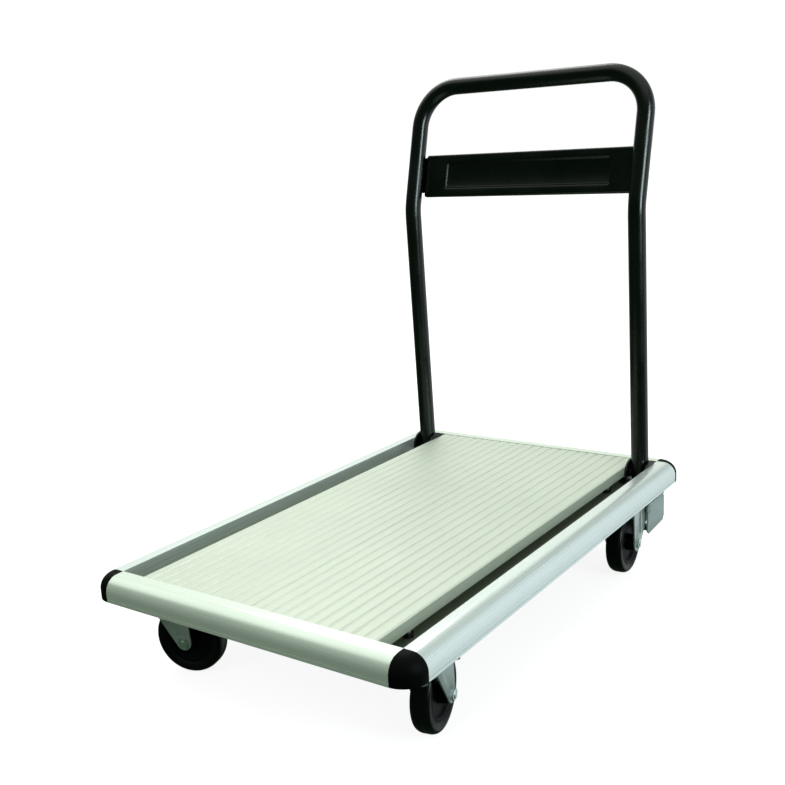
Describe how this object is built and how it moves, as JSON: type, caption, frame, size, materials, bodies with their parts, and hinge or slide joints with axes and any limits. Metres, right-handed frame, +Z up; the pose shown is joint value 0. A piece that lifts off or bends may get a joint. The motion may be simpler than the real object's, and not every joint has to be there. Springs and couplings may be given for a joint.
{
  "type": "flatbed platform truck",
  "caption": "Flatbed hand truck: ribbed aluminium deck in rounded rails, folding bent-tube push handle with a cross panel, swivel casters, foot brakes at the handle end.",
  "frame": {"origin": "on the ground below the middle of the platform", "axes": "+Z up, +Y along the platform towards the handle end, +X to the right when looking along +Y"},
  "size_m": [0.52, 0.82, 0.7978],
  "materials": {
    "aluminium_rail": "satin anodised extrusion",
    "aluminium_deck": "satin anodised extrusion, ribbed along its length",
    "aluminium_strip": "mill finish",
    "cap_plastic": "moulded, slightly glossy",
    "black_paint": "gloss black powder coat on steel",
    "zinc": "bright zinc plate on pressed steel",
    "bare_steel": "plain steel",
    "hub_plastic": "moulded black core",
    "tyre_rubber": "solid black rubber tread",
    "black_oxide": "blackened steel",
    "insert_plastic": "moulded"
  },
  "bodies": {
    "platform": {"front_rail": "aluminium_rail", "rear_rail": "aluminium_rail", "side_rail_left": "aluminium_rail", "side_rail_right": "aluminium_rail", "corner_cap_front_left": "cap_plastic", "corner_cap_front_right": "cap_plastic", "corner_cap_rear_left": "cap_plastic", "corner_cap_rear_right": "cap_plastic", "deck_plank_left": "aluminium_deck", "deck_plank_right": "aluminium_deck", "channel_floor_left": "aluminium_strip", "channel_floor_right": "aluminium_strip", "cross_member_front": "bare_steel", "cross_member_mid_front": "bare_steel", "cross_member_mid_rear": "bare_steel", "cross_member_rear": "bare_steel", "lock_springs": "bare_steel", "kingpins": "bare_steel", "swivel_balls": "bare_steel", "cap_screws": "zinc", "deck_screws": "zinc", "pivot_pin_left": "zinc", "pivot_pin_right": "zinc", "caster_bolts": "zinc", "caster_nuts": "black_oxide", "pivot_bracket_left": "black_paint", "pivot_bracket_right": "black_paint", "caster_plate_fl": "zinc", "caster_plate_fr": "zinc", "caster_plate_rl": "zinc", "caster_plate_rr": "zinc"},
    "handle": {"handle_tube": "black_paint", "handle_panel": "black_paint", "panel_rivets": "zinc", "leg_insert_left": "insert_plastic", "leg_insert_right": "insert_plastic", "pivot_bush_left": "insert_plastic", "pivot_bush_right": "insert_plastic"},
    "handle_lock": {"lock_rod": "zinc", "release_pull": "black_paint"},
    "swivel_fl": {"fork_fl": "zinc", "axle_fl": "zinc"},
    "wheel_fl": {"wheel_core_fl": "hub_plastic", "tyre_fl": "tyre_rubber"},
    "swivel_fr": {"fork_fr": "zinc", "axle_fr": "zinc"},
    "wheel_fr": {"wheel_core_fr": "hub_plastic", "tyre_fr": "tyre_rubber"},
    "swivel_rl": {"fork_rl": "zinc", "axle_rl": "zinc", "brake_pin_rl": "zinc"},
    "wheel_rl": {"wheel_core_rl": "hub_plastic", "tyre_rl": "tyre_rubber"},
    "brake_rl": {"brake_pedal_rl": "zinc"},
    "swivel_rr": {"fork_rr": "zinc", "axle_rr": "zinc", "brake_pin_rr": "zinc"},
    "wheel_rr": {"wheel_core_rr": "hub_plastic", "tyre_rr": "tyre_rubber"},
    "brake_rr": {"brake_pedal_rr": "zinc"}
  },
  "joints": [
    {"name": "handle_fold", "type": "hinge", "parent": "platform", "child": "handle", "pos_m": [0, 0.3505, 0.1375], "axis": [1, 0, 0], "range_deg": [0, 88]},
    {"name": "lock_slide", "type": "slide", "parent": "platform", "child": "handle_lock", "axis": [0, -1, 0], "range_m": [0, 0.008], "stiffness_N_per_m": 150, "springref_m": 0.012, "deforming": ["lock_springs"]},
    {"name": "swivel_fl_turn", "type": "hinge", "parent": "platform", "child": "swivel_fl", "pos_m": [-0.2144, -0.337, 0.11], "axis": [0, 0, 1], "continuous": true},
    {"name": "wheel_fl_spin", "type": "hinge", "parent": "swivel_fl", "child": "wheel_fl", "pos_m": [-0.16622, -0.32364, 0.05], "axis": [0.2672, -0.9636, 0], "continuous": true},
    {"name": "swivel_fr_turn", "type": "hinge", "parent": "platform", "child": "swivel_fr", "pos_m": [0.2144, -0.337, 0.11], "axis": [0, 0, 1], "continuous": true},
    {"name": "wheel_fr_spin", "type": "hinge", "parent": "swivel_fr", "child": "wheel_fr", "pos_m": [0.20443, -0.288, 0.05], "axis": [0.9799, 0.1994, 0], "continuous": true},
    {"name": "swivel_rl_turn", "type": "hinge", "parent": "platform", "child": "swivel_rl", "pos_m": [-0.2144, 0.311, 0.11], "axis": [0, 0, 1], "continuous": true},
    {"name": "wheel_rl_spin", "type": "hinge", "parent": "swivel_rl", "child": "wheel_rl", "pos_m": [-0.20917, 0.26127, 0.05], "axis": [-0.9945, -0.1045, 0], "continuous": true},
    {"name": "brake_rl_press", "type": "hinge", "parent": "swivel_rl", "child": "brake_rl", "pos_m": [-0.21419, 0.30901, 0.088], "axis": [-0.9945, -0.1045, 0], "range_deg": [0, 4.5]},
    {"name": "swivel_rr_turn", "type": "hinge", "parent": "platform", "child": "swivel_rr", "pos_m": [0.2144, 0.311, 0.11], "axis": [0, 0, 1], "continuous": true},
    {"name": "wheel_rr_spin", "type": "hinge", "parent": "swivel_rr", "child": "wheel_rr", "pos_m": [0.21702, 0.26107, 0.05], "axis": [-0.9986, -0.0523, 0], "continuous": true},
    {"name": "brake_rr_press", "type": "hinge", "parent": "swivel_rr", "child": "brake_rr", "pos_m": [0.21451, 0.309, 0.088], "axis": [-0.9986, -0.0523, 0], "range_deg": [0, 4.5]}
  ]
}
